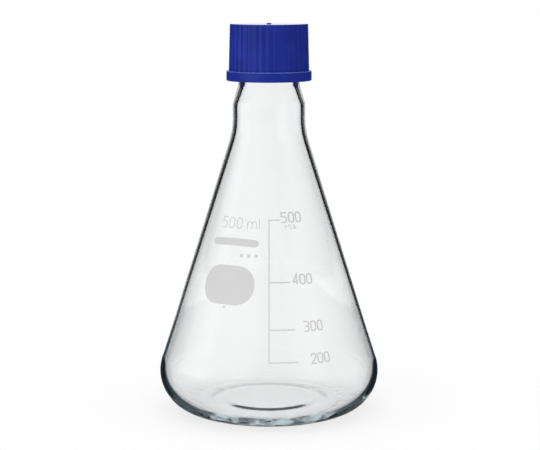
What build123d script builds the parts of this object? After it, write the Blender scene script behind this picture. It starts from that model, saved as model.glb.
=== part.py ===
from build123d import *
import math
import os

# A conical laboratory flask with a screw cap. Millimetres, +Z up, origin at the centre
# of the foot. The graduation scale faces -Y.

# ---------------------------------------------------------------- driving sizes
# Glass body, outside
body_radius = 52.5            # largest radius, just above the base
base_corner_radius = 19.5     # round from the foot into the cone
throat_height = 140.4         # where the cone's inward curve becomes the straight neck
throat_radius = 36.0          # radius of that curve
foot_inner_radius = 31.0      # the foot is a flat ring with a hollow inside this radius
push_up_height = 0.9          # hollow under the middle of the base
neck_length = 6.6
shoulder_step = 2.9           # how much the finish is narrower than the neck, in radius
shoulder_length = 10.0
shoulder_round = 8.0
finish_length = 24.0          # shoulder to lip
lip_round = 0.9

# Glass thickness
cone_wall = 1.8
neck_wall = 2.2
finish_wall = 2.9
heel_thickness = 2.5          # floor over the foot ring
floor_thickness = 2.6         # floor over the push-up
floor_dome_radius = 28.6      # the floor inside rises within this radius
inner_corner_radius = 18.2
dome_flank = 0.3              # share of a dome's radius over which most of it rises
dome_flank_rise = 0.86        # share of a dome's height that its flank rises
dome_points = 16

# Screw finish of the glass
thread_root_radius = 14.3
thread_height = 1.5
thread_pitch = 4.0
thread_turns = 2.0
thread_base_width = 2.4
thread_crest_width = 0.9
thread_lip_gap = 3.2          # lip down to the middle of the thread's upper end

# Liner: a soft pad with a thin facing that seals on the lip
facing_thickness = 0.3
pad_thickness = 1.7
liner_clearance = 0.3         # radial, to the bore of the cap

# Screw cap
cap_bore_clearance = 0.5      # radial, glass thread crest to the bore of the cap
cap_wall = 2.65               # bore to the crests of the ribs, at the collar
cap_top_thickness = 1.8
cap_draft = 1.5               # degrees
cap_edge_round = 0.5
cap_shoulder_gap = 1.3        # shoulder of the glass up to the cap's rim
collar_height = 4.55
collar_step = 1.15
collar_edge_round = 0.35
rib_count = 36
rib_depth = 0.35
rib_groove_radius = 1.0
gate_nub_radius = 1.1
gate_nub_height = 0.35
cap_thread_height = 1.5
cap_thread_turns = 2.0
cap_thread_base_width = 1.8
cap_thread_crest_width = 0.8
thread_flank_gap = 0.3        # glass thread's lower flank to the cap's thread, along the axis
thread_rooting = 0.4          # how far a thread's root is carried into its wall

# Fired enamel
enamel_sink = 0.02            # depth of the enamel fused into the glass
enamel_height = 0.06          # enamel standing on the glass
enamel_reach = 3.0            # depth each side of the glass that a flat mark is pressed through
scale_line_width = 0.6
scale_mark_heights = (33.3, 47.5, 68.3, 95.9)
scale_mark_lengths = (13.4, 11.9, 9.6, 4.9)
scale_mark_labels = ("200", "300", "400", "500")
label_starts = (19.9, 16.4, 11.1, 5.7)      # along the glass, from the scale line
label_rise = 1.1              # middle of a label above its mark
figure_height = 4.45
figure_width = 2.4
figure_pitch = 3.45
figure_stroke = 0.7
tolerance_mark_start = 7.1
tolerance_mark_height = 92.8
tolerance_figure_height = 1.9
tolerance_figure_width = 1.35
tolerance_figure_pitch = 2.1
tolerance_figure_stroke = 0.26
capacity_start = -23.3
capacity_height = 94.2
capacity_figure_width = 2.6
capacity_figure_height = 4.9
capacity_figure_pitch = 4.0
capacity_word_gap = 1.3
capacity_stroke = 0.42
unit_m_width = 4.3
bar_centre_angle = -29.5
bar_height = 85.8
bar_length = 23.6
bar_width = 3.4
square_angles = (-21.3, -15.6, -9.9)
square_height = 79.9
square_size = 1.5
patch_centre_angle = -29.7
patch_height = 66.6
patch_width = 26.0
patch_tall = 18.2
patch_corner_radius = 8.4
patch_dot_height = 56.8
patch_dot_radius = 0.55

# ---------------------------------------------------------------- derived sizes
neck_radius = thread_root_radius + shoulder_step
neck_inner_radius = neck_radius - neck_wall
mouth_radius = thread_root_radius - finish_wall
thread_crest_radius = thread_root_radius + thread_height
neck_top = throat_height + neck_length
finish_base = neck_top + shoulder_length
lip_top = finish_base + finish_length
floor_top = push_up_height + floor_thickness
thread_bottom = lip_top - thread_lip_gap - thread_turns * thread_pitch

cap_bore_radius = thread_crest_radius + cap_bore_clearance
cap_rim = finish_base + cap_shoulder_gap
cap_ledge = cap_rim + collar_height
cap_ceiling = lip_top + facing_thickness + pad_thickness
cap_top = cap_ceiling + cap_top_thickness
skirt_base_radius = cap_bore_radius + cap_wall
skirt_slope = math.tan(math.radians(cap_draft))
skirt_top_radius = skirt_base_radius - skirt_slope * (cap_top - cap_ledge)
collar_radius = skirt_base_radius + collar_step
liner_radius = cap_bore_radius - liner_clearance
cap_thread_crest_radius = cap_bore_radius - cap_thread_height


def tangent_lean(corner_r, corner_z, corner_round, throat_r, throat_z, throat_round):
    """Half angle of the cone whose wall is tangent to a convex corner below and a concave throat above."""
    across = throat_r - corner_r
    up = throat_z - corner_z
    reach = math.hypot(across, up)
    return math.atan2(up, across) - math.acos((corner_round + throat_round) / reach)


outer_corner_r = body_radius - base_corner_radius
throat_centre_r = neck_radius + throat_radius
cone_angle = tangent_lean(
    outer_corner_r, base_corner_radius, base_corner_radius, throat_centre_r, throat_height, throat_radius
)
inner_corner_r = body_radius - cone_wall - inner_corner_radius
inner_corner_z = heel_thickness + inner_corner_radius
inner_throat_radius = throat_radius + neck_wall
inner_cone_angle = tangent_lean(
    inner_corner_r, inner_corner_z, inner_corner_radius, throat_centre_r, throat_height, inner_throat_radius
)


def cone_radius(height):
    """Outside radius of the straight cone at a height."""
    start_r = outer_corner_r + base_corner_radius * math.cos(cone_angle)
    start_z = base_corner_radius * (1 + math.sin(cone_angle))
    return start_r - (height - start_z) * math.tan(cone_angle)


def wall_height(corner_r, corner_z, corner_round, angle, radius):
    """Height at which a tangent cone wall reaches a radius."""
    start_r = corner_r + corner_round * math.cos(angle)
    start_z = corner_z + corner_round * math.sin(angle)
    return start_z + (start_r - radius) / math.tan(angle)


def wall_radius(corner_r, corner_z, corner_round, angle, height):
    """Radius that a tangent cone wall has at a height."""
    start_r = corner_r + corner_round * math.cos(angle)
    start_z = corner_z + corner_round * math.sin(angle)
    return start_r - (height - start_z) * math.tan(angle)


# ---------------------------------------------------------------- glass
def dome_rise(share):
    """How far a dome has risen, 0 at its edge and 1 in the middle, at a share of its radius."""
    flank = min(1.0, (1 - share) / dome_flank)
    crown = (1 - share**2) ** 2
    return dome_flank_rise * flank**2 * (3 - 2 * flank) + (1 - dome_flank_rise) * crown


def dome(edge_radius, edge_height, middle_height):
    """Half profile of a shallow dome, level at its edge and in the middle."""
    shares = [1 - i / dome_points for i in range(dome_points + 1)]
    rise = middle_height - edge_height
    points = [(edge_radius * share, edge_height + rise * dome_rise(share)) for share in shares]
    return Spline(*points, tangents=((-1, 0), (-1, 0)))


def glass_section():
    """Half section of the glass: foot, cone, neck, shoulder, lip, bore and domed floor."""
    outer = (outer_corner_r, base_corner_radius, base_corner_radius, cone_angle)
    inner = (inner_corner_r, inner_corner_z, inner_corner_radius, inner_cone_angle)
    wall = FilletPolyline(
        (foot_inner_radius, 0),
        (wall_radius(*outer, 0), 0),
        (neck_radius, wall_height(*outer, neck_radius)),
        (neck_radius, neck_top),
        (thread_root_radius, finish_base),
        (thread_root_radius, lip_top),
        (mouth_radius, lip_top),
        (mouth_radius, finish_base),
        (neck_inner_radius, neck_top),
        (neck_inner_radius, wall_height(*inner, neck_inner_radius)),
        (wall_radius(*inner, heel_thickness), heel_thickness),
        (floor_dome_radius, heel_thickness),
        radius=[
            base_corner_radius,
            throat_radius,
            shoulder_round,
            shoulder_round,
            lip_round,
            lip_round,
            shoulder_round,
            shoulder_round,
            inner_throat_radius,
            inner_corner_radius,
        ],
    )
    floor = dome(floor_dome_radius, heel_thickness, floor_top)
    middle = Line((0, floor_top), (0, push_up_height))
    push_up = dome(foot_inner_radius, 0, push_up_height)
    return Plane.XZ * make_face(wall.edges() + [floor, middle, push_up])


def thread_ridge(base_radius, crest_radius, base_width, crest_width, start_height, turns):
    """One helical ridge on a cylinder, from its base radius to its crest radius."""
    section = Plane.XZ * make_face(
        Polyline(
            (base_radius, start_height - base_width / 2),
            (crest_radius, start_height - crest_width / 2),
            (crest_radius, start_height + crest_width / 2),
            (base_radius, start_height + base_width / 2),
            close=True,
        )
    )
    path = Helix(thread_pitch, thread_pitch * turns, base_radius, center=(0, 0, start_height))
    return sweep(section, path=path, is_frenet=True)


def rooted(base_radius, crest_radius, base_width, crest_width):
    """A ridge's sizes with its root carried a little into the wall behind it, on the same flanks."""
    slope = (base_width - crest_width) / (crest_radius - base_radius)
    step = math.copysign(thread_rooting, crest_radius - base_radius)
    return base_radius - step, crest_radius, base_width + slope * step, crest_width


def make_flask_body():
    glass = revolve(glass_section(), Axis.Z)
    sizes = rooted(thread_root_radius, thread_crest_radius, thread_base_width, thread_crest_width)
    return glass + thread_ridge(*sizes, thread_bottom, thread_turns)


# ---------------------------------------------------------------- cap and liner
def make_disc(bottom, thickness):
    return Pos(0, 0, bottom + thickness / 2) * Cylinder(liner_radius, thickness)


def make_liner_facing():
    return make_disc(lip_top, facing_thickness)


def make_liner_pad():
    return make_disc(lip_top + facing_thickness, pad_thickness)


def rib_groove():
    """One round groove that leans with the draft of the skirt and ends on the collar."""
    offset = rib_groove_radius - rib_depth
    start = Vector(skirt_base_radius + offset, 0, cap_ledge - collar_height / 2)
    lean = Vector(-math.sin(math.radians(cap_draft)), 0, math.cos(math.radians(cap_draft)))
    plane = Plane(origin=start, x_dir=(0, 1, 0), z_dir=lean)
    return extrude(plane * Circle(rib_groove_radius), cap_top - cap_rim)


def make_skirt():
    """Ribbed skirt and closed top of the cap, before the collar."""
    side = FilletPolyline(
        (cap_bore_radius, cap_ledge - collar_height / 2),
        (skirt_base_radius + skirt_slope * collar_height / 2, cap_ledge - collar_height / 2),
        (skirt_top_radius, cap_top),
        (0, cap_top),
        (0, cap_ceiling),
        (cap_bore_radius, cap_ceiling),
        close=True,
        radius=[0, 0, cap_edge_round, 0, 0, 0],
    )
    skirt = revolve(Plane.XZ * make_face(side.edges()), Axis.Z)
    groove = rib_groove()
    return skirt - [Rot(0, 0, 360 / rib_count * (i + 0.5)) * groove for i in range(rib_count)]


def make_collar():
    ring = FilletPolyline(
        (cap_bore_radius, cap_rim),
        (collar_radius, cap_rim),
        (collar_radius, cap_ledge),
        (cap_bore_radius, cap_ledge),
        close=True,
        radius=[0, collar_edge_round, collar_edge_round, 0],
    )
    return revolve(Plane.XZ * make_face(ring.edges()), Axis.Z)


def make_screw_cap():
    sizes = rooted(
        cap_bore_radius, cap_thread_crest_radius, cap_thread_base_width, cap_thread_crest_width
    )
    # The cap's ridge hangs under the glass ridge, with the flank gap where the glass ridge is that wide.
    glass_half = thread_crest_width / 2 + (thread_base_width - thread_crest_width) / 2 * (
        (thread_crest_radius - cap_thread_crest_radius) / thread_height
    )
    drop = glass_half + cap_thread_crest_width / 2 + thread_flank_gap
    start = thread_bottom - drop
    nub = Pos(0, 0, cap_top + gate_nub_height / 2) * Cylinder(gate_nub_radius, gate_nub_height)
    return make_skirt() + make_collar() + thread_ridge(*sizes, start, cap_thread_turns) + nub


# ---------------------------------------------------------------- enamel marks
def enamel_shell(low, high):
    """The layer of enamel that could cover the cone between two heights."""
    inside = -enamel_sink / math.cos(cone_angle)
    outside = enamel_height / math.cos(cone_angle)
    section = Polyline(
        (cone_radius(low) + inside, low),
        (cone_radius(low) + outside, low),
        (cone_radius(high) + outside, high),
        (cone_radius(high) + inside, high),
        close=True,
    )
    return revolve(Plane.XZ * make_face(section), Axis.Z)


def on_glass(along, height, around=None):
    """Plane lying on the cone: along is the distance round the glass from the front, around an angle."""
    radius = cone_radius(height)
    angle = along / radius if around is None else math.radians(around)
    outward = (
        math.sin(angle) * math.cos(cone_angle),
        -math.cos(angle) * math.cos(cone_angle),
        math.sin(cone_angle),
    )
    origin = (radius * math.sin(angle), -radius * math.cos(angle), height)
    return Plane(origin=origin, x_dir=(math.cos(angle), math.sin(angle), 0), z_dir=outward)


def fire_on(shapes, low, high):
    """Press flat shapes, each on its own plane, through the layer of enamel."""
    layer = enamel_shell(low, high)
    pressed = [extrude(shape, enamel_reach, both=True) & layer for shape in shapes]
    return Compound(children=[solid for mark in pressed for solid in mark.solids()])


def figure_paths(name, w, h):
    """Middle lines of a figure w wide and h tall, as runs of touching edges."""
    r = h / 4
    if name == "2":
        top = CenterArc((w / 2, h - w / 2), w / 2, 180, -210)
        return [[top, Line(top @ 1, (0, 0)), Line((0, 0), (w, 0))]]
    if name == "3":
        upper = [Line((0, h), (w - r, h)), CenterArc((w - r, h - r), r, 90, -180)]
        upper.append(Line((w - r, h / 2), (w * 0.3, h / 2)))
        lower = [CenterArc((w - r, r), r, 90, -180), Line((w - r, 0), (0, 0))]
        return [upper, lower]
    if name == "4":
        return [[Line((w * 0.74, 0), (w * 0.74, h)), Line((w * 0.74, h), (0, h * 0.27))],
                [Line((0, h * 0.27), (w, h * 0.27))]]
    if name == "5":
        bowl = h * 0.3
        path = [Line((w, h), (0, h)), Line((0, h), (0, 2 * bowl)), Line((0, 2 * bowl), (w - bowl, 2 * bowl))]
        path += [CenterArc((w - bowl, bowl), bowl, 90, -180), Line((w - bowl, 0), (0, 0))]
        return [path]
    if name == "m":
        top = h * 0.68
        a = w / 4
        left = [CenterArc((a, top - a), a, 180, -180), Line((2 * a, top - a), (2 * a, 0))]
        right = [CenterArc((3 * a, top - a), a, 180, -180), Line((w, top - a), (w, 0))]
        return [[Line((0, 0), (0, top))], left, right]
    if name == "l":
        return [[Line((0, 0), (0, h))]]
    if name == "±":
        return [[Line((0, h * 0.6), (w, h * 0.6))], [Line((w / 2, h * 0.25), (w / 2, h * 0.95))],
                [Line((0, 0), (w, 0))]]
    return [[Line((0, 0), (w, h))]]


def ring_outline(w, h, stroke):
    """An upright zero: two slots, one inside the other."""
    return SlotOverall(h + stroke, w + stroke, rotation=90) - SlotOverall(h - stroke, w - stroke, rotation=90)


def figure_shape(name, w, h, stroke):
    """A figure as a flat shape, its middle lines centred on the origin in height."""
    if name == "0":
        return Pos(w / 2, 0) * ring_outline(w, h, stroke)
    shape = Sketch()
    for path in figure_paths(name, w, h):
        shape += trace(path, line_width=stroke)
    if name == "%":
        small = h * 0.36
        ring = Circle(small / 2 + stroke / 2) - Circle(small / 2 - stroke / 2)
        shape += Pos(small / 2, h - small / 2) * ring
        shape += Pos(w - small / 2, small / 2) * ring
    return Pos(0, -h / 2) * shape


def figure_row(text, start, height, w, h, pitch, stroke):
    """Figures one after another round the glass, each on its own plane."""
    return [
        on_glass(start + i * pitch + w / 2, height) * Pos(-w / 2, 0) * figure_shape(name, w, h, stroke)
        for i, name in enumerate(text)
    ]


def radial_bar(width, tall, height, angle=0):
    """A level bar from the axis out past the glass, turned round from the front."""
    bar = Box(width, 2 * body_radius, tall, align=(Align.CENTER, Align.MAX, Align.CENTER))
    return Rot(0, 0, angle) * Pos(0, 0, height) * bar


def make_graduation_scale():
    """The upright line and the four marks, all one print."""
    low, high = scale_mark_heights[0], scale_mark_heights[-1]
    scale = radial_bar(scale_line_width, high - low + scale_line_width, (low + high) / 2)
    for height, reach in zip(scale_mark_heights, scale_mark_lengths):
        middle = math.degrees(reach / cone_radius(height) / 2)
        scale += radial_bar(reach, scale_line_width, height, middle)
    return scale & enamel_shell(low - 2 * scale_line_width, high + 2 * scale_line_width)


def make_graduation_figures():
    shapes = []
    for text, start, height in zip(scale_mark_labels, label_starts, scale_mark_heights):
        middle = height + label_rise
        shapes += figure_row(text, start, middle, figure_width, figure_height, figure_pitch, figure_stroke)
    size = (tolerance_figure_width, tolerance_figure_height, tolerance_figure_pitch, tolerance_figure_stroke)
    shapes += figure_row("±5%", tolerance_mark_start, tolerance_mark_height, *size)
    low = scale_mark_heights[0] - figure_height
    return fire_on(shapes, low, scale_mark_heights[-1] + figure_height)


def make_capacity_mark():
    size = (capacity_figure_height, capacity_figure_pitch, capacity_stroke)
    shapes = figure_row("500", capacity_start, capacity_height, capacity_figure_width, *size)
    unit_start = capacity_start + 3 * capacity_figure_pitch + capacity_word_gap
    size = (unit_m_width, capacity_figure_height, 0, capacity_stroke)
    shapes += figure_row("m", unit_start, capacity_height, *size)
    stem = unit_start + unit_m_width + capacity_word_gap
    shapes += figure_row("l", stem, capacity_height, 0, capacity_figure_height, 0, capacity_stroke)
    return fire_on(shapes, capacity_height - capacity_figure_height, capacity_height + capacity_figure_height)


def make_maker_bar():
    """A plain bar with three small squares under it."""
    bar = on_glass(0, bar_height, bar_centre_angle) * SlotOverall(bar_length, bar_width)
    squares = [
        on_glass(0, square_height, angle) * Rectangle(square_size, square_size) for angle in square_angles
    ]
    return fire_on([bar] + squares, square_height - 2 * square_size, bar_height + bar_width)


def make_writing_patch():
    """The field to write on, with a small dot under it."""
    panel = on_glass(0, patch_height, patch_centre_angle) * RectangleRounded(
        patch_width, patch_tall, patch_corner_radius
    )
    dot = on_glass(0, patch_dot_height, patch_centre_angle) * Circle(patch_dot_radius)
    return fire_on([panel, dot], patch_dot_height - 2, patch_height + patch_tall)


# ---------------------------------------------------------------- write one file per piece
pieces = {
    "flask_body": make_flask_body,
    "screw_cap": make_screw_cap,
    "liner_pad": make_liner_pad,
    "liner_facing": make_liner_facing,
    "graduation_scale": make_graduation_scale,
    "graduation_figures": make_graduation_figures,
    "capacity_mark": make_capacity_mark,
    "maker_bar": make_maker_bar,
    "writing_patch": make_writing_patch,
}

os.makedirs("parts", exist_ok=True)
for name, make in pieces.items():
    export_step(make(), f"parts/{name}.step")
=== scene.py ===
"""Conical screw-cap flask: glass, ribbed cap, liner and fired enamel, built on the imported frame."""

import math

import bpy
from bpy.props import FloatProperty, FloatVectorProperty, IntProperty, PointerProperty
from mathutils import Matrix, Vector


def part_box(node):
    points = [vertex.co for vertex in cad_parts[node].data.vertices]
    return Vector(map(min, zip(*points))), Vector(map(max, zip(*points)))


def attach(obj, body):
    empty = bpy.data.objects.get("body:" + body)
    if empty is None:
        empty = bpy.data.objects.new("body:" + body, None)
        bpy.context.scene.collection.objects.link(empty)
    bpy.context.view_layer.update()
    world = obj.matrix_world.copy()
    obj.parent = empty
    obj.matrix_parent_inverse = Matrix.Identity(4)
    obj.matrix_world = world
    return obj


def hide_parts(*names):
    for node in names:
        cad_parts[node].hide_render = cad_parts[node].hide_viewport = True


bl_info = {
    "name": "Conical Screw-Cap Flask",
    "version": (1, 0, 0),
    "blender": (4, 5, 0),
    "location": "3D View > Sidebar > Flask",
    "description": "Builds the glass, cap, liner, enamel marks and stage of a conical laboratory flask",
    "category": "Object",
}

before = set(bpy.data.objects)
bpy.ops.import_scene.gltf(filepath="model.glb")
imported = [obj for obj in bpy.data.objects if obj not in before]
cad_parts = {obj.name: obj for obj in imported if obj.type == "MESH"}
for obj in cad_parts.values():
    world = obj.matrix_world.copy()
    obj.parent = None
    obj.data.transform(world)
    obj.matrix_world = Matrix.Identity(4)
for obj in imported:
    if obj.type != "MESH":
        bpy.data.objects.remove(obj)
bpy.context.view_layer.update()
MM = 0.001
TAU = 2 * math.pi
WHITE = (1.0, 1.0, 1.0, 1.0)
BLACK = (0.0, 0.0, 0.0, 1.0)


# ---------------------------------------------------------------- node trees
class Wire:
    """One output of a node. Sums on wires lay Math nodes in their tree."""

    def __init__(self, tree, node, output=0):
        self.tree = tree
        self.node = node
        self.socket = node.outputs[output]

    def out(self, output):
        return Wire(self.tree, self.node, output)

    def math(self, operation, *terms):
        return lay(self.tree, "ShaderNodeMath", {"operation": operation}, dict(enumerate(terms)))

    def __add__(self, other):
        return self.math("ADD", self, other)

    def __sub__(self, other):
        return self.math("SUBTRACT", self, other)

    def __rsub__(self, other):
        return self.math("SUBTRACT", other, self)

    def __mul__(self, other):
        return self.math("MULTIPLY", self, other)

    def __truediv__(self, other):
        return self.math("DIVIDE", self, other)

    def __pow__(self, other):
        return self.math("POWER", self, other)

    def __mod__(self, other):
        return self.math("FLOORED_MODULO", self, other)

    def __lt__(self, other):
        return self.math("LESS_THAN", self, other)

    def __gt__(self, other):
        return self.math("GREATER_THAN", self, other)

    def __abs__(self):
        return self.math("ABSOLUTE", self)

    __radd__ = __add__
    __rmul__ = __mul__


def lay(tree, kind, settings=None, inputs=None, output=0):
    """Lay one node: its settings first, then the value or wire of each socket."""
    node = tree.nodes.new(kind)
    for name, value in (settings or {}).items():
        setattr(node, name, value)
    for name, value in (inputs or {}).items():
        if isinstance(value, Wire):
            tree.links.new(value.socket, node.inputs[name])
        else:
            node.inputs[name].default_value = value
    return Wire(tree, node, output)


def smooth_step(value, start, end, low=0.0, high=1.0):
    """A value eased from low to high between two limits."""
    inputs = {"Value": value, "From Min": start, "From Max": end, "To Min": low, "To Max": high}
    return lay(value.tree, "ShaderNodeMapRange", {"interpolation_type": "SMOOTHSTEP"}, inputs)


def mix_colour(factor, first, second):
    """Mix two colours, each a wire or four numbers."""
    inputs = {0: factor, 6: first, 7: second}
    return lay(factor.tree, "ShaderNodeMix", {"data_type": "RGBA"}, inputs, 2)


def opaque(tone, factor=1.0):
    """A colour of three numbers with full alpha, darkened by a factor."""
    return tuple(c * factor for c in tone) + (1.0,)


def own_place(tree):
    """Where a point is in the frame of its own piece."""
    return lay(tree, "ShaderNodeTexCoord", None, None, "Object")


def split(tree, vector):
    """A vector taken apart, its parts under the names X, Y and Z."""
    return lay(tree, "ShaderNodeSeparateXYZ", None, {0: vector})


def from_axis(place):
    """Distance from the upright axis of a place that was taken apart."""
    return (place.out("X") ** 2 + place.out("Y") ** 2) ** 0.5


def noise(tree, where, scale, detail):
    """Soft noise from 0 to 1."""
    return lay(tree, "ShaderNodeTexNoise", None, {"Vector": where, "Scale": scale, "Detail": detail}, "Fac")


def raised(tree, relief, strength, distance):
    """The normal of a surface with a fine relief."""
    inputs = {"Strength": strength, "Distance": distance, "Height": relief}
    return lay(tree, "ShaderNodeBump", None, inputs)


def new_material(name):
    """A material with its Principled shader laid and wired to the output."""
    material = bpy.data.materials.new(name)
    material.use_nodes = True
    tree = material.node_tree
    tree.nodes.clear()
    shader = lay(tree, "ShaderNodeBsdfPrincipled")
    output = lay_output(tree, shader)
    return material, tree, shader.node, output


def lay_output(tree, shader, kind="ShaderNodeOutputMaterial"):
    """Lay the output of a material or a world and wire a shader to its surface."""
    node = tree.nodes.new(kind)
    tree.links.new(shader.socket, node.inputs["Surface"])
    return node


def feed(tree, node, **values):
    """Give sockets of a laid node their values or wires, the socket's name with _ for a space."""
    for name, value in values.items():
        socket = node.inputs[name.replace("_", " ")]
        if isinstance(value, Wire):
            tree.links.new(value.socket, socket)
        else:
            socket.default_value = value


# ---------------------------------------------------------------- profiles
def round_corner(before, corner, after, radius, step):
    """Points of the arc that rounds one corner of a profile."""
    into = (before - corner).normalized()
    onward = (after - corner).normalized()
    half = into.angle(onward) / 2
    reach = radius / math.tan(half)
    centre = corner + (into + onward).normalized() * (radius / math.sin(half))
    start = corner + into * reach - centre
    sweep = (corner + onward * reach - centre).angle_signed(start)
    count = max(3, math.ceil(abs(sweep) / step))
    turns = [sweep * i / count for i in range(count + 1)]
    return [centre + Vector((start.x * math.cos(t) - start.y * math.sin(t),
                             start.x * math.sin(t) + start.y * math.cos(t))) for t in turns]


def profile_points(corners, step=math.radians(4), hold=0.25 * MM):
    """A profile's points from its corners (radius, height, round), with a holding point beside each arc."""
    spots = [Vector(c[:2]) for c in corners]
    points = [spots[0]]
    for i in range(1, len(corners) - 1):
        if corners[i][2]:
            arc = round_corner(spots[i - 1], spots[i], spots[i + 1], corners[i][2], step)
            points.append(arc[0] + (spots[i - 1] - arc[0]).normalized() * hold)
            points += arc
            points.append(arc[-1] + (spots[i + 1] - arc[-1]).normalized() * hold)
        else:
            points.append(spots[i])
    points.append(spots[-1])
    return points


def fill_in(points, spacing, low=None, high=None):
    """Add points along a profile's runs, so that none between two heights is longer than the spacing."""
    filled = [points[0]]
    for a, b in zip(points, points[1:]):
        inside = low is None or (min(a.y, b.y) < high and max(a.y, b.y) > low)
        count = max(1, math.ceil((b - a).length / spacing)) if inside else 1
        filled += [a.lerp(b, i / count) for i in range(1, count + 1)]
    return filled


# The flank of the dome in the base, as shares of the dome's radius and of its rise.
DOME_FLANK = 0.3
DOME_FLANK_RISE = 0.86


def push_up_rise(way):
    """Rise of the dome in the base at a share of its radius: 1 in the middle and 0 at its edge."""
    step = min(1.0, (1 - way) / DOME_FLANK)
    flank = DOME_FLANK_RISE * step * step * (3 - 2 * step)
    return flank + (1 - DOME_FLANK_RISE) * (1 - way * way) ** 2


def push_up_points(edge, middle, count=36):
    """Points across the hollow of the base, from next to its edge to next to the middle."""
    shares = [1 - i / count for i in range(1, count)]
    return [Vector((edge.x * t, edge.y + (middle.y - edge.y) * push_up_rise(t))) for t in shares]


def cone_corner(corner_r, corner_z, corner_round, throat_r, throat_z, throat_round):
    """Where a wall tangent to a lower corner and an upper throat starts, and its slope inwards."""
    across, up = throat_r - corner_r, throat_z - corner_z
    lean = math.atan2(up, across) - math.acos((corner_round + throat_round) / math.hypot(across, up))
    start = Vector((corner_r + corner_round * math.cos(lean), corner_z + corner_round * math.sin(lean)))
    return start, math.tan(lean)


# ---------------------------------------------------------------- turned forms
FEWEST_FACES = 100
WELD_DISTANCE = 0.002 * MM
RIB_FLATNESS = 1.25
THREAD_FADE = 0.07  # of a turn, at each end
TURNED_SIZES = (
    ("Segments", "NodeSocketInt", 240),
    ("Rib Count", "NodeSocketInt", 36),
    ("Rib Depth", "NodeSocketFloat", 0.0),
    ("Thread Start", "NodeSocketFloat", 0.0),
    ("Thread Pitch", "NodeSocketFloat", 0.004),
    ("Thread Turns", "NodeSocketFloat", 2.0),
    ("Thread Height", "NodeSocketFloat", 0.0),
    ("Thread Base Width", "NodeSocketFloat", 0.0024),
    ("Thread Crest Width", "NodeSocketFloat", 0.0009),
    ("Material", "NodeSocketMaterial", None),
)


def turned_tree():
    """Geometry nodes that turn a profile round the axis, with its upright ribs and its helical thread."""
    tree = bpy.data.node_groups.new("turned form", "GeometryNodeTree")
    tree.interface.new_socket("Geometry", in_out="OUTPUT", socket_type="NodeSocketGeometry")
    tree.interface.new_socket("Geometry", in_out="INPUT", socket_type="NodeSocketGeometry")
    for name, kind, default in TURNED_SIZES:
        socket = tree.interface.new_socket(name, in_out="INPUT", socket_type=kind)
        if default is not None:
            socket.default_value = default
    entry = lay(tree, "NodeGroupInput")
    profile = entry.out("Geometry")
    segments = entry.out("Segments")
    rows = lay(tree, "GeometryNodeAttributeDomainSize", None, {"Geometry": profile})
    grid_inputs = {"Vertices X": segments + 1, "Vertices Y": rows}
    grid = lay(tree, "GeometryNodeMeshGrid", None, grid_inputs)
    index = lay(tree, "GeometryNodeInputIndex")
    row = index % rows
    around = (index - row) / rows / segments
    spot = sample_row(tree, profile, row, lay(tree, "GeometryNodeInputPosition"), "FLOAT_VECTOR")
    place = split(tree, spot)
    height = place.out("Z")
    ribs = sample_row(tree, profile, row, named_value(tree, "rib"), "FLOAT")
    threads = sample_row(tree, profile, row, named_value(tree, "thread"), "FLOAT")
    radius = place.out("X") - ribs * entry.out("Rib Depth") * rib_wave(around, entry.out("Rib Count"))
    radius = radius + threads * entry.out("Thread Height") * ridge(entry, around, height)
    angle = around * TAU
    spin = {0: radius * angle.math("COSINE", angle), 1: radius * angle.math("SINE", angle), 2: height}
    turned = lay(tree, "ShaderNodeCombineXYZ", None, spin)
    form = lay(tree, "GeometryNodeSetPosition", None, {"Geometry": grid, "Position": turned})
    form = lay(tree, "GeometryNodeMergeByDistance", None, {"Geometry": form, "Distance": WELD_DISTANCE})
    form = lay(tree, "GeometryNodeSetShadeSmooth", None, {"Geometry": form})
    form = lay(tree, "GeometryNodeRealizeInstances", None, {"Geometry": form})
    form = lay(tree, "GeometryNodeSetMaterial", None, {"Geometry": form, "Material": entry.out("Material")})
    close_tree(tree, form)
    return tree


def close_tree(tree, form):
    """Wire a finished form to the output of its tree."""
    node = tree.nodes.new("NodeGroupOutput")
    tree.links.new(form.socket, node.inputs["Geometry"])


def sample_row(tree, profile, row, value, kind):
    """A value of the profile's point that stands in a row of the grid."""
    settings = {"data_type": kind, "domain": "POINT"}
    return lay(tree, "GeometryNodeSampleIndex", settings, {"Geometry": profile, "Value": value, "Index": row})


def named_value(tree, name):
    """A value that the profile carries at each point."""
    return lay(tree, "GeometryNodeInputNamedAttribute", {"data_type": "FLOAT"}, {"Name": name})


def rib_wave(around, count):
    """0 on the crest of a rib and 1 in the middle of a groove, a little flatter on the crests."""
    phase = around * count * TAU
    return (0.5 - 0.5 * phase.math("COSINE", phase)) ** RIB_FLATNESS


def ridge(entry, around, height):
    """0 off the thread and 1 on its crest, with flanks, and ends that fade out."""
    turn = (height - entry.out("Thread Start")) / entry.out("Thread Pitch") - around
    near = turn.math("ROUND", turn)
    across = abs(turn - near) * entry.out("Thread Pitch") * 2
    flank = smooth_step(across, entry.out("Thread Crest Width"), entry.out("Thread Base Width"), 1.0, 0.0)
    run = near + around
    lead_in = smooth_step(run, 0.0, THREAD_FADE)
    lead_out = smooth_step(entry.out("Thread Turns") - run, 0.0, THREAD_FADE)
    return flank * lead_in * lead_out


def profile_mesh(name, points, marks):
    """A profile as a mesh of loose points in the XZ plane, with a value at each point for every mark."""
    mesh = bpy.data.meshes.new(name)
    mesh.from_pydata([(p.x, 0.0, p.y) for p in points], [], [])
    for mark in ("rib", "thread"):
        values = mesh.attributes.new(mark, "FLOAT", "POINT")
        values.data.foreach_set("value", [float(marks.get(mark, no_mark)(p)) for p in points])
    return mesh


def no_mark(point):
    """The value of a mark that a profile doesn't have."""
    return 0.0


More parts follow.
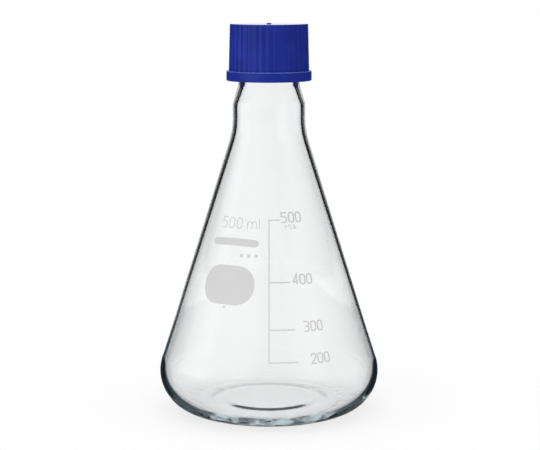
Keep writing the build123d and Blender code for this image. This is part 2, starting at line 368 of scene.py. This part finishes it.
def turn_piece(name, points, material, tree, marks=None, **sizes):
    """Turn a profile into a finished piece, a plain closed mesh whose faces point outwards."""
    rough = bpy.data.objects.new(name + "_profile", profile_mesh(name + "_profile", points, marks or {}))
    bpy.context.scene.collection.objects.link(rough)
    modifier = rough.modifiers.new("turned form", "NODES")
    modifier.node_group = tree
    ids = {item.name: item.identifier for item in tree.interface.items_tree if item.in_out == "INPUT"}
    for label, value in sizes.items():
        modifier[ids[label.replace("_", " ").title()]] = value
    modifier[ids["Material"]] = material
    evaluated = rough.evaluated_get(bpy.context.evaluated_depsgraph_get())
    mesh = bpy.data.meshes.new_from_object(evaluated)
    bpy.data.objects.remove(rough)
    mesh.name = name
    if len(mesh.polygons) < FEWEST_FACES:
        raise RuntimeError(name + " was not turned")
    if signed_volume(mesh) < 0:
        mesh.flip_normals()
    piece = bpy.data.objects.new(name, mesh)
    bpy.context.scene.collection.objects.link(piece)
    return piece


def signed_volume(mesh):
    """Volume inside a closed mesh, below zero if its faces point inwards."""
    total = 0.0
    for face in mesh.polygons:
        total += face.center.dot(face.normal) * face.area
    return total / 3


# ---------------------------------------------------------------- sizes and colours
def length(name, description, default):
    """A length, its default given in millimetres."""
    return FloatProperty(name=name, description=description, default=default * MM, unit="LENGTH", precision=5)


def colour(name, description, default):
    """A colour without alpha."""
    return FloatVectorProperty(name=name, description=description, default=default, size=3, min=0.0, max=1.0,
                               subtype="COLOR")


def share(name, description, default):
    """A value from 0 to 1."""
    return FloatProperty(name=name, description=description, default=default, min=0.0, max=1.0,
                         subtype="FACTOR")


class FlaskGlassSizes(bpy.types.PropertyGroup):
    """Sizes, relief and tint of the glass."""

    body_radius: FloatProperty(
        name="Body Radius", description="Largest radius, just above the base",
        default=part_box("flask_body")[1].x, unit="LENGTH", precision=5)
    lip_height: FloatProperty(
        name="Lip Height", description="Height of the lip above the foot",
        default=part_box("flask_body")[1].z, unit="LENGTH", precision=5)
    base_corner: length("Base Corner", "Round from the foot into the cone", 19.5)
    inner_corner: length("Inner Corner", "Round inside, from the floor into the cone", 18.2)
    foot_inner_radius: length("Foot Inner Radius", "The flat foot ring starts here", 31.0)
    dome_radius: length("Dome Radius", "The floor inside starts to rise here", 28.6)
    push_up: length("Push-up", "Hollow under the middle of the base", 0.9)
    floor_middle: length("Floor Middle", "Glass over the push-up", 2.6)
    heel: length("Heel", "Glass over the foot ring", 2.5)
    throat_height: length("Throat Height", "Where the straight neck starts", 140.4)
    throat_round: length("Throat Round", "Inward curve between cone and neck", 36.0)
    neck_length: length("Neck Length", "Straight part of the neck", 6.6)
    neck_radius: length("Neck Radius", "Outside radius of the neck", 17.2)
    finish_radius: length("Finish Radius", "Outside radius under the thread", 14.3)
    finish_length: length("Finish Length", "Top of the shoulder to the lip", 24.0)
    shoulder_round: length("Shoulder Round", "Rounds at both ends of the shoulder", 8.0)
    lip_round: length("Lip Round", "Rounds on the lip", 0.9)
    cone_wall: length("Cone Wall", "Glass thickness of the cone", 1.8)
    neck_wall: length("Neck Wall", "Glass thickness of the neck", 2.2)
    finish_wall: length("Finish Wall", "Glass thickness under the thread", 2.9)
    thread_height: length("Thread Height", "Thread crest over its root", 1.5)
    thread_start: length("Thread Start", "Height of the lower end of the thread", 169.8)
    segments: IntProperty(name="Segments", description="Faces round the glass", default=224, min=48, max=480)
    waves: share("Waves", "Relief of the slow waves in the blown wall", 0.06)
    ripples: share("Ripples", "Relief of the ripples round the corner of the base", 0.4)
    haze: share("Haze", "Roughness of the haziest spots", 0.018)
    tint: colour("Tint", "Colour that thick glass takes on", (0.55, 0.72, 0.78))
    tint_density: FloatProperty(name="Tint Density", description="How fast thick glass takes on its tint",
                                default=9.0, min=0.0, max=200.0)


class FlaskCapSizes(bpy.types.PropertyGroup):
    """Sizes and colour of the screw cap and its liner."""

    rim: FloatProperty(name="Rim Height", description="Height of the cap's lower rim",
                       default=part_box("screw_cap")[0].z, unit="LENGTH", precision=5)
    collar_radius: FloatProperty(name="Collar Radius", description="Outside radius of the smooth collar",
                                 default=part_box("screw_cap")[1].x, unit="LENGTH", precision=5)
    top: length("Top Height", "Height of the cap's flat top", 184.8)
    ceiling: length("Ceiling Height", "Height of the inside of the top", 183.0)
    ledge: length("Ledge Height", "Height of the top of the collar", 162.85)
    skirt_radius: length("Skirt Radius", "Rib crests at the collar", 18.95)
    skirt_top_radius: length("Skirt Top Radius", "Rib crests at the top", 18.375)
    bore: length("Bore", "Radius of the inside", 16.3)
    rib_depth: length("Rib Depth", "Crest of a rib down to the groove", 0.35)
    rib_count: IntProperty(name="Rib Count", description="Ribs round the skirt", default=36, min=8, max=90)
    nub_radius: length("Nub Radius", "Moulding nub in the middle of the top", 1.1)
    nub_height: length("Nub Height", "How far the nub stands up", 0.35)
    thread_start: length("Thread Start", "Height of the lower end of the cap's thread", 168.15)
    thread_height: length("Thread Height", "Bore to the crest of the cap's thread", 1.5)
    thread_base: length("Thread Base", "Width of the cap's thread at its root", 1.8)
    thread_crest: length("Thread Crest", "Width of the cap's thread at its crest", 0.8)
    liner_radius: length("Liner Radius", "Radius of the sealing disc", 16.0)
    blue: colour("Blue", "Colour of the cap's plastic", (0.009, 0.026, 0.300))
    # Colour and strength of the painted highlight on the collar's top edge.
    highlight_blue: colour("Worn Blue", "Colour of the worn edge of the collar", (0.16, 0.30, 0.72))
    highlight_strength: share("Wear", "How far the collar's edge is worn", 0.7)
    roughness: share("Roughness", "Roughness of the cap's plastic", 0.36)
    polish: share("Polish", "How much smoother the top is", 0.85)


class FlaskMarkSizes(bpy.types.PropertyGroup):
    """Finish of the fired enamel marks."""

    enamel: colour("Enamel", "Colour of the fired marks", (0.64, 0.64, 0.64))
    roughness: share("Roughness", "Roughness of the fired marks", 0.55)


class FlaskStageSizes(bpy.types.PropertyGroup):
    """Floor, light and camera."""

    floor: colour("Floor", "Colour of the plain floor", (0.22, 0.22, 0.22))
    floor_glow: share("Floor Glow", "Evenness of the floor, against its shadows", 0.735)
    backdrop: FloatProperty(name="Backdrop", description="Brightness of the pale surround", default=1.0,
                            min=0.0, max=4.0)
    overhead: share("Overhead", "Light from above", 1.0)
    low_light: share("Low Light", "Light from the horizon and below", 0.25)
    left_panel: FloatProperty(name="Left Panel", description="Brightness of the soft panel on the left",
                              default=1.1, min=0.0, max=8.0)
    right_panel: FloatProperty(name="Right Panel", description="Brightness of the soft panel on the right",
                               default=0.3, min=0.0, max=8.0)
    top_panel: FloatProperty(name="Top Panel", description="Brightness of the soft panel above",
                             default=1.5, min=0.0, max=8.0)
    floor_radius: FloatProperty(name="Floor Radius", description="Radius of the floor", default=0.45,
                                unit="LENGTH")
    floor_gap: length("Floor Gap", "Air under the foot", 0.05)
    lens: FloatProperty(name="Lens", description="Focal length of the camera", default=111.59,
                        unit="CAMERA", subtype="DISTANCE_CAMERA")
    distance: length("Camera Distance", "From the axis to the camera", 790.35)
    height: length("Camera Height", "From the floor to the camera", 206.53)
    pitch: FloatProperty(name="Camera Pitch", description="How far the camera looks down", default=0.1472,
                         subtype="ANGLE", unit="ROTATION")
    shift: FloatProperty(name="Camera Shift", description="Sideways shift of the view, by its own width",
                         default=1 / 540, precision=5)


# ---------------------------------------------------------------- glass
GLASS_ROW = 6 * MM
GLASS_THREAD_ROW = 0.26 * MM
THREAD_ROWS_START = 6 * MM  # above the base of the finish
THREAD_ZONE_START = 7 * MM  # above the base of the finish
THREAD_ZONE_END = 1 * MM  # below the lip
GLASS_IOR = 1.473

# The ripples round the corner of the base: the depths under its skin between which they fade out, the width
# over which they start beside the foot, and the heights between which they end.
RIPPLE_DEPTHS = (0.5 * MM, 0.9 * MM)
RIPPLE_START = 3 * MM
RIPPLE_HEIGHTS = (4 * MM, 9 * MM)


def glass_wall(s):
    """Half section of the wall from the foot, up the outside, over the lip and down inside to the floor."""
    neck_top = s.throat_height + s.neck_length
    finish_base = s.lip_height - s.finish_length
    throat_r = s.neck_radius + s.throat_round
    outer = cone_corner(s.body_radius - s.base_corner, s.base_corner, s.base_corner,
                        throat_r, s.throat_height, s.throat_round)
    inner = cone_corner(s.body_radius - s.cone_wall - s.inner_corner, s.heel + s.inner_corner, s.inner_corner,
                        throat_r, s.throat_height, s.throat_round + s.neck_wall)
    neck_inner = s.neck_radius - s.neck_wall
    mouth = s.finish_radius - s.finish_wall
    return profile_points([
        (s.foot_inner_radius, 0.0, 0),
        (outer[0].x + outer[0].y * outer[1], 0.0, s.base_corner),
        (s.neck_radius, outer[0].y + (outer[0].x - s.neck_radius) / outer[1], s.throat_round),
        (s.neck_radius, neck_top, s.shoulder_round),
        (s.finish_radius, finish_base, s.shoulder_round),
        (s.finish_radius, s.lip_height, s.lip_round),
        (mouth, s.lip_height, s.lip_round),
        (mouth, finish_base, s.shoulder_round),
        (neck_inner, neck_top, s.shoulder_round),
        (neck_inner, inner[0].y + (inner[0].x - neck_inner) / inner[1], s.throat_round + s.neck_wall),
        (inner[0].x + (inner[0].y - s.heel) * inner[1], s.heel, s.inner_corner),
        (s.dome_radius, s.heel, 0),
    ])


def glass_points(s):
    """The whole half section of the glass: its wall, the hollow under the base and the domed floor."""
    wall = glass_wall(s)
    under = Vector((0.0, s.push_up))
    top = Vector((0.0, s.push_up + s.floor_middle))
    points = [under] + push_up_points(wall[0], under)[::-1] + wall + push_up_points(wall[-1], top) + [top]
    thread_rows = s.lip_height - s.finish_length + THREAD_ROWS_START
    return fill_in(fill_in(points, GLASS_ROW), GLASS_THREAD_ROW, thread_rows, s.lip_height)


def base_corner_skin(s, place):
    """1 on the outer skin round the corner of the base, 0 on the foot, higher up and inside the flask."""
    height = place.out("Z")
    radius = from_axis(place)
    corner_start = s.body_radius - s.base_corner
    from_centre = ((radius - corner_start) ** 2 + (height - s.base_corner) ** 2) ** 0.5
    skin = smooth_step(from_centre, s.base_corner - RIPPLE_DEPTHS[1], s.base_corner - RIPPLE_DEPTHS[0])
    skin = skin * smooth_step(radius, corner_start, corner_start + RIPPLE_START)
    return skin * smooth_step(height, *RIPPLE_HEIGHTS, 1.0, 0.0)


def clear_glass(s):
    """Clear glass: slow waves in the wall, ripples round the base, a trace of haze and a faint cold tint."""
    material, tree, shader, output = new_material("clear_glass")
    where = own_place(tree)
    stretched = lay(tree, "ShaderNodeMapping", None, {"Vector": where, "Scale": (1.0, 1.0, 0.45)})
    waves = noise(tree, stretched, 38.0, 1.0)
    ripples = noise(tree, where, 150.0, 1.5) * base_corner_skin(s, split(tree, where))
    bump = raised(tree, waves * s.waves + ripples * s.ripples, 1.0, 1 * MM)
    rough = smooth_step(noise(tree, where, 90.0, 3.0), 0.45, 0.8, 0.0, s.haze)
    feed(tree, shader, Base_Color=WHITE, IOR=GLASS_IOR, Transmission_Weight=1.0, Roughness=rough, Normal=bump)
    tint = {"Color": opaque(s.tint), "Density": s.tint_density}
    depth = lay(tree, "ShaderNodeVolumeAbsorption", None, tint)
    tree.links.new(depth.socket, output.inputs["Volume"])
    return material


class FLASK_OT_glass(bpy.types.Operator):
    """Turn the glass flask with its wall, base, neck and screw thread"""

    bl_idname = "flask.glass"
    bl_label = "Glass Flask"

    def execute(self, context):
        s = context.scene.flask_glass
        low = s.lip_height - s.finish_length + THREAD_ZONE_START
        high = s.lip_height - THREAD_ZONE_END

        def threaded(point):
            """Whether a point is on the outside of the finish, where the thread stands."""
            return point.x > s.finish_radius - 0.1 * MM and low < point.y < high

        piece = turn_piece("clear_flask", glass_points(s), clear_glass(s), turned_tree(),
                           {"thread": threaded}, segments=s.segments, thread_start=s.thread_start,
                           thread_height=s.thread_height)
        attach(piece, "flask")
        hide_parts("flask_body")
        return {"FINISHED"}


# ---------------------------------------------------------------- cap and liner
CAP_ROW = 1.2 * MM
CAP_THREAD_ROW = 0.25 * MM
BORE_START = 5 * MM  # plain bore above the rim
BORE_END = 3 * MM  # plain bore below the ceiling
SEGMENTS_PER_RIB = 10
LINER_SEGMENTS = 120
LINER_ROW = 2 * MM
LINER_EDGE = 0.2  # round of a disc's edge, as a share of its thickness

# The painted highlight along the collar's top edge: how far inside its radius it starts and is full,
# and how far from the line of the edge, a little under the ledge, it is full and ends.
HIGHLIGHT_RADII = (0.5 * MM, 0.3 * MM)
HIGHLIGHT_DROP = 0.05 * MM
HIGHLIGHT_WIDTHS = (0.05 * MM, 0.2 * MM)
POLISH_DEPTHS = (0.15 * MM, 0.02 * MM)  # below the top, where the polish starts and is full


def cap_points(s):
    """Half section of the cap from the middle of its top, down the outside and up the inside."""
    nub_top = s.top + s.nub_height
    corners = [
        (0.0, nub_top, 0),
        (s.nub_radius, nub_top, 0.15 * MM),
        (s.nub_radius, s.top, 0.12 * MM),
        (s.skirt_top_radius, s.top, 0.5 * MM),
        (s.skirt_radius, s.ledge, 0.2 * MM),
        (s.collar_radius, s.ledge, 0.35 * MM),
        (s.collar_radius, s.rim, 0.35 * MM),
        (s.bore, s.rim, 0.3 * MM),
        (s.bore, s.ceiling, 0.6 * MM),
        (0.0, s.ceiling, 0),
    ]
    return fill_in(profile_points(corners, math.radians(15), 0.12 * MM), CAP_ROW)


def refine_bore(points, s):
    """More points up the bore, where its thread stands."""
    fine = [points[0]]
    for a, b in zip(points, points[1:]):
        on_bore = abs(a.x - s.bore) < 0.01 * MM and abs(b.x - s.bore) < 0.01 * MM
        threaded = on_bore and max(a.y, b.y) > s.rim + BORE_START
        fine += fill_in([a, b], CAP_THREAD_ROW)[1:] if threaded else [b]
    return fine


def moulded_plastic(s):
    """Satin moulded plastic: fine grain, a slow flow of colour, a polished top, a painted highlight on the
    collar edge.
    """
    material, tree, shader, _ = new_material("moulded_blue")
    where = own_place(tree)
    place = split(tree, where)
    height = place.out("Z")
    flow = smooth_step(noise(tree, where, 55.0, 2.0), 0.3, 0.7)
    pale = tuple(min(1.0, c * 1.18 + 0.002) for c in s.blue) + (1.0,)
    body = mix_colour(flow, opaque(s.blue, 0.82), pale)
    # Painted highlight: a lighter blue line along the top edge of the collar, just under the ledge.
    highlit = smooth_step(from_axis(place), s.collar_radius - HIGHLIGHT_RADII[0], s.collar_radius - HIGHLIGHT_RADII[1])
    highlit = highlit * smooth_step(abs(height - s.ledge + HIGHLIGHT_DROP), *HIGHLIGHT_WIDTHS, 1.0, 0.0)
    body = mix_colour(highlit * s.highlight_strength, body, opaque(s.highlight_blue))
    grain = noise(tree, where, 2600.0, 2.0)
    polished = smooth_step(height, s.top - POLISH_DEPTHS[0], s.top - POLISH_DEPTHS[1])
    bump = raised(tree, grain * (1 - polished), 0.12, 0.1 * MM)
    rough = (s.roughness + 0.1 * (grain - 0.5)) * (1 - s.polish * polished)
    feed(tree, shader, Base_Color=body, Roughness=rough, Normal=bump, IOR=1.49, Specular_IOR_Level=0.28)
    return material


class FLASK_OT_cap(bpy.types.Operator):
    """Turn the ribbed screw cap with its collar, inner thread and moulding nub"""

    bl_idname = "flask.cap"
    bl_label = "Screw Cap"

    def execute(self, context):
        s = context.scene.flask_cap

        def ribbed(point):
            """Whether a point is on the skirt, where the ribs stand."""
            outside = s.skirt_top_radius - 0.75 * MM < point.x < s.skirt_radius + 0.25 * MM
            return outside and point.y > s.ledge - 0.01 * MM

        def threaded(point):
            """-1 on the bore, where the thread stands inwards."""
            inside = abs(point.x - s.bore) < 0.05 * MM
            return -1.0 if inside and s.rim + BORE_START < point.y < s.ceiling - BORE_END else 0.0

        points = refine_bore(cap_points(s), s)
        piece = turn_piece("ribbed_cap", points, moulded_plastic(s), turned_tree(),
                           {"rib": ribbed, "thread": threaded}, segments=s.rib_count * SEGMENTS_PER_RIB,
                           rib_count=s.rib_count, rib_depth=s.rib_depth, thread_start=s.thread_start,
                           thread_height=s.thread_height, thread_base_width=s.thread_base,
                           thread_crest_width=s.thread_crest)
        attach(piece, "cap")
        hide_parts("screw_cap")
        return {"FINISHED"}


class FLASK_OT_liner(bpy.types.Operator):
    """Turn the soft liner and its thin facing"""

    bl_idname = "flask.liner"
    bl_label = "Liner"

    def execute(self, context):
        s = context.scene.flask_cap
        tree = turned_tree()
        pieces = (("soft_liner", "liner_pad", "silicone", (0.80, 0.78, 0.73), 0.6),
                  ("liner_film", "liner_facing", "liner_film", (0.86, 0.86, 0.84), 0.3))
        for name, node, slot_name, tone, rough in pieces:
            low, high = (corner.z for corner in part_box(node))
            radius = s.liner_radius
            edge = (high - low) * LINER_EDGE
            corners = [(0.0, high, 0), (radius, high, edge), (radius, low, edge), (0.0, low, 0)]
            points = fill_in(profile_points(corners, math.radians(30), 0.02 * MM), LINER_ROW)
            piece = turn_piece(name, points, soft_disc(name, tone, rough), tree, segments=LINER_SEGMENTS)
            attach(piece, "liner")
            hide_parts(node)
        return {"FINISHED"}


def soft_disc(name, tone, rough):
    """Sealing disc: an even pale surface with a faint mottle and a pressed-in grain."""
    material, tree, shader, _ = new_material(name)
    mottle = noise(tree, own_place(tree), 240.0, 3.0)
    body = mix_colour(mottle, opaque(tone, 0.93), opaque(tone))
    bump = raised(tree, mottle, 0.2, 0.1 * MM)
    feed(tree, shader, Base_Color=body, Roughness=rough + 0.1 * mottle, Normal=bump)
    return material


# ---------------------------------------------------------------- enamel
def fired_enamel(s):
    """Half-matt fired enamel with tiny pores and an uneven density."""
    material, tree, shader, _ = new_material("fired_enamel")
    where = own_place(tree)
    body = mix_colour(noise(tree, where, 150.0, 3.0), opaque(s.enamel, 0.96), opaque(s.enamel))
    pores = noise(tree, where, 2200.0, 1.0)
    bump = raised(tree, pores, 0.15, 0.05 * MM)
    feed(tree, shader, Base_Color=body, Roughness=s.roughness + 0.15 * (pores - 0.5), Normal=bump)
    return material


MARKS = ("graduation_scale", "graduation_figures", "capacity_mark", "maker_bar", "writing_patch")


class FLASK_OT_marks(bpy.types.Operator):
    """Give the scale, the figures, the bar and the writing patch their fired enamel"""

    bl_idname = "flask.marks"
    bl_label = "Enamel Marks"

    def execute(self, context):
        material = fired_enamel(context.scene.flask_marks)
        for name in MARKS:
            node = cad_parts[name]
            node.data.materials.clear()
            node.data.materials.append(material)
        return {"FINISHED"}


# ---------------------------------------------------------------- stage
FLOOR_SIDES = 96
GLASS_BOUNCES = 24

# The floor as the glass mirrors it, painted reflections that only the glass shows: its glow after few and
# after many passes through the glass, then the two white wedges behind the flask and the pale patches in
# front of it, which paint broken highlights round the base.
MIRRORED_FLOOR = (0.020, 0.035, 0.045, 1.0)
DEEP_FLOOR = (0.20, 0.21, 0.22, 1.0)
DEEP_FLOOR_PASSES = 2.5
WEDGE_MIDDLE = 50 * MM  # to each side of the axis
WEDGE_SPREAD = 0.27  # half width per length backwards
WEDGE_EDGE = 6 * MM
PATCH_GLOW = (0.66, 0.76, 0.82, 1.0)
PATCH_BACK = (-30 * MM, -10 * MM)  # how far back they are full and end
PATCH_SIDE = (24 * MM, 40 * MM)  # how far to the side they are full and end

# The surround as the glass mirrors it: the upright screens, and the dark between them.
SCREEN_BEHIND = ((0, 1, 0), 14.0, 3.0)
SCREEN_LEFT = ((-1, 0, 0), 16.0, 12.0)
SCREEN_RIGHT = ((1, -1, 0), 16.0, 12.0)
SCREEN_TOP = (0.30, 0.5)
DIM = 0.03
GLOOM_HIGH = (0.010, 0.012, 0.014, 1.0)
GLOOM_LOW = (0.028, 0.045, 0.058, 1.0)
DEEP_ROOM_PASSES = 3.5
SCATTERED_GLOOM = (0.04, 0.06, 0.08, 1.0)
BRIGHTEST = 4.0


def mirrored_floor(tree, where, path):
    """Painted reflections seen only in the glass: the floor glows dark, with white wedges behind and
    highlight patches in front.
    """
    place = split(tree, where)
    across, back = place.out("X"), place.out("Y")
    passes = path.out("Transmission Depth")
    wedges = smooth_step(back * WEDGE_SPREAD - abs(abs(across) - WEDGE_MIDDLE), 0.0, WEDGE_EDGE)
    highlight_patches = smooth_step(noise(tree, where, 110.0, 2.0), 0.42, 0.58, 0.12, 0.8) * (passes > 0.5)
    highlight_patches = highlight_patches * smooth_step(back, *PATCH_BACK, 1.0, 0.0)
    highlight_patches = highlight_patches * smooth_step(abs(across), *PATCH_SIDE, 1.0, 0.0)
    glow = mix_colour(passes > DEEP_FLOOR_PASSES, MIRRORED_FLOOR, DEEP_FLOOR)
    glow = mix_colour(wedges, glow, WHITE)
    return mix_colour(highlight_patches, glow, PATCH_GLOW)


def stage_floor(s):
    """A plain floor that glows evenly where it is seen directly or straight through the glass."""
    material, tree, shader, _ = new_material("plain_floor")
    where = own_place(tree)
    path = lay(tree, "ShaderNodeLightPath")
    body = mix_colour(noise(tree, where, 30.0, 2.0), opaque(s.floor, 0.99), opaque(s.floor))
    # In reflections in the glass the floor shows the painted reflections of mirrored_floor instead.
    direct = path.out("Glossy Depth") < 0.5
    glow = mix_colour(direct, mirrored_floor(tree, where, path), opaque((s.floor_glow,) * 3))
    feed(tree, shader, Base_Color=body, Roughness=0.9, Specular_IOR_Level=0.0,
         Emission_Color=glow, Emission_Strength=1.0)
    turns = [TAU * i / FLOOR_SIDES for i in range(FLOOR_SIDES)]
    rim = [(s.floor_radius * math.cos(t), s.floor_radius * math.sin(t), -s.floor_gap) for t in turns]
    mesh = bpy.data.meshes.new("plain_floor")
    mesh.from_pydata(rim, [], [list(range(FLOOR_SIDES))])
    mesh.materials.append(material)
    floor = bpy.data.objects.new("plain_floor", mesh)
    bpy.context.scene.collection.objects.link(floor)


def towards(tree, heading, centre, wide, soft):
    """1 for headings within a half angle of a direction, in degrees, with a soft edge."""
    aim = tuple(Vector(centre).normalized())
    along = lay(tree, "ShaderNodeVectorMath", {"operation": "DOT_PRODUCT"}, {0: heading, 1: aim}, "Value")
    start, end = (math.cos(math.radians(wide + edge)) for edge in (soft, -soft))
    return smooth_step(along, start, end)


def levelled(tree, heading):
    """A heading without its rise."""
    flat = lay(tree, "ShaderNodeVectorMath", {"operation": "MULTIPLY"}, {0: heading, 1: (1.0, 1.0, 0.0)})
    return lay(tree, "ShaderNodeVectorMath", {"operation": "NORMALIZE"}, {0: flat})


def grey(value, tree):
    """A brightness as a colour wire."""
    return mix_colour(value * (1 / BRIGHTEST), BLACK, (BRIGHTEST, BRIGHTEST, BRIGHTEST, 1.0))


def light_panels(s, tree, heading):
    """Brightness of the soft panels on the left, on the right and above."""
    panels = s.left_panel * towards(tree, heading, (-0.8, -0.6, 0.35), 30.0, 14.0)
    panels = panels + s.right_panel * towards(tree, heading, (0.9, -0.4, 0.3), 20.0, 10.0)
    return panels + s.top_panel * towards(tree, heading, (0.0, -0.2, 1.0), 34.0, 10.0)


def mirrored_room(tree, heading, path, panels):
    """The surround in a mirror: a screen and panels from outside the glass, dark with screens from inside."""
    flat = levelled(tree, heading)
    parts = split(tree, heading)
    passes = path.out("Transmission Depth")
    behind = towards(tree, flat, *SCREEN_BEHIND)
    sides = towards(tree, flat, *SCREEN_LEFT) + towards(tree, flat, *SCREEN_RIGHT)
    outside = grey(behind + panels + DIM, tree)
    screens = behind.math("MAXIMUM", behind, sides) * smooth_step(parts.out("Z"), *SCREEN_TOP, 1.0, 0.0)
    low = smooth_step(parts.out("Z"), -0.1, 0.0, 1.0, 0.0)
    inside = mix_colour(screens, mix_colour(low, GLOOM_HIGH, GLOOM_LOW), WHITE)
    deep = grey(smooth_step(parts.out("Y"), -0.2, 0.6, 0.15, 0.95), tree)
    inside = mix_colour(passes > DEEP_ROOM_PASSES, inside, deep)
    return mix_colour(passes > 0.5, outside, inside)


def surround(s):
    """Pale surround: bright straight through the glass, dim in reflections apart from screens and panels."""
    world = bpy.data.worlds.new("pale_surround")
    world.use_nodes = True
    world.cycles.sampling_method = "NONE"
    tree = world.node_tree
    tree.nodes.clear()
    path = lay(tree, "ShaderNodeLightPath")
    heading = lay(tree, "ShaderNodeTexCoord", None, None, "Generated")
    panels = light_panels(s, tree, heading)
    scattered = path.out("Diffuse Depth") > 0.5
    straight = path.out("Is Diffuse Ray")
    mirrored_view = mix_colour(scattered, mirrored_room(tree, heading, path, panels), SCATTERED_GLOOM)
    lit = smooth_step(split(tree, heading).out("Z"), -0.1, 0.6, s.low_light, s.overhead) + panels * 0.5
    plain = grey(1 + scattered * straight * (lit - 1), tree)
    dark = (path.out("Glossy Depth") > 0.5) * (1 - scattered * (1 - straight))
    view = mix_colour(dark, plain, mirrored_view)
    shader = lay(tree, "ShaderNodeBackground", None, {"Color": view, "Strength": s.backdrop})
    lay_output(tree, shader, "ShaderNodeOutputWorld")
    bpy.context.scene.world = world


def main_camera(s):
    """Place the camera in front of the scale, looking a little down."""
    camera = bpy.data.cameras.new("main_camera")
    camera.lens = s.lens
    camera.sensor_width = 36.0
    camera.shift_x = s.shift
    camera.clip_start, camera.clip_end = 0.05, 60.0
    item = bpy.data.objects.new("main_camera", camera)
    item.location = (0.0, -s.distance, s.height)
    item.rotation_euler = (math.pi / 2 - s.pitch, 0.0, 0.0)
    bpy.context.scene.collection.objects.link(item)
    bpy.context.scene.camera = item


class FLASK_OT_stage(bpy.types.Operator):
    """Lay the floor, set the soft lights and place the camera"""

    bl_idname = "flask.stage"
    bl_label = "Stage"

    def execute(self, context):
        s = context.scene.flask_stage
        stage_floor(s)
        surround(s)
        main_camera(s)
        scene = context.scene
        scene.view_settings.view_transform = "Standard"
        scene.cycles.max_bounces = GLASS_BOUNCES
        scene.cycles.transmission_bounces = GLASS_BOUNCES
        scene.cycles.glossy_bounces = GLASS_BOUNCES // 2
        return {"FINISHED"}


class FLASK_PT_pieces(bpy.types.Panel):
    """Lists the pieces of the flask and their sizes"""

    bl_label = "Flask"
    bl_idname = "FLASK_PT_pieces"
    bl_space_type = "VIEW_3D"
    bl_region_type = "UI"
    bl_category = "Flask"

    def draw(self, context):
        for operator, group in STEPS:
            box = self.layout.box()
            box.operator(operator.bl_idname)
            settings = getattr(context.scene, group)
            for name in settings.__annotations__:
                box.prop(settings, name)


GROUPS = {
    "flask_glass": FlaskGlassSizes,
    "flask_cap": FlaskCapSizes,
    "flask_marks": FlaskMarkSizes,
    "flask_stage": FlaskStageSizes,
}
STEPS = (
    (FLASK_OT_stage, "flask_stage"),
    (FLASK_OT_glass, "flask_glass"),
    (FLASK_OT_cap, "flask_cap"),
    (FLASK_OT_liner, "flask_cap"),
    (FLASK_OT_marks, "flask_marks"),
)


def register():
    for group in GROUPS.values():
        bpy.utils.register_class(group)
    for operator, _ in STEPS:
        bpy.utils.register_class(operator)
    bpy.utils.register_class(FLASK_PT_pieces)
    for name, group in GROUPS.items():
        setattr(bpy.types.Scene, name, PointerProperty(type=group))


def unregister():
    for name in GROUPS:
        delattr(bpy.types.Scene, name)
    bpy.utils.unregister_class(FLASK_PT_pieces)
    for operator, _ in STEPS:
        bpy.utils.unregister_class(operator)
    for group in GROUPS.values():
        bpy.utils.unregister_class(group)


def main():
    register()
    bpy.ops.flask.stage()
    bpy.ops.flask.glass()
    bpy.ops.flask.cap()
    bpy.ops.flask.liner()
    bpy.ops.flask.marks()


if __name__ == "__main__":
    main()
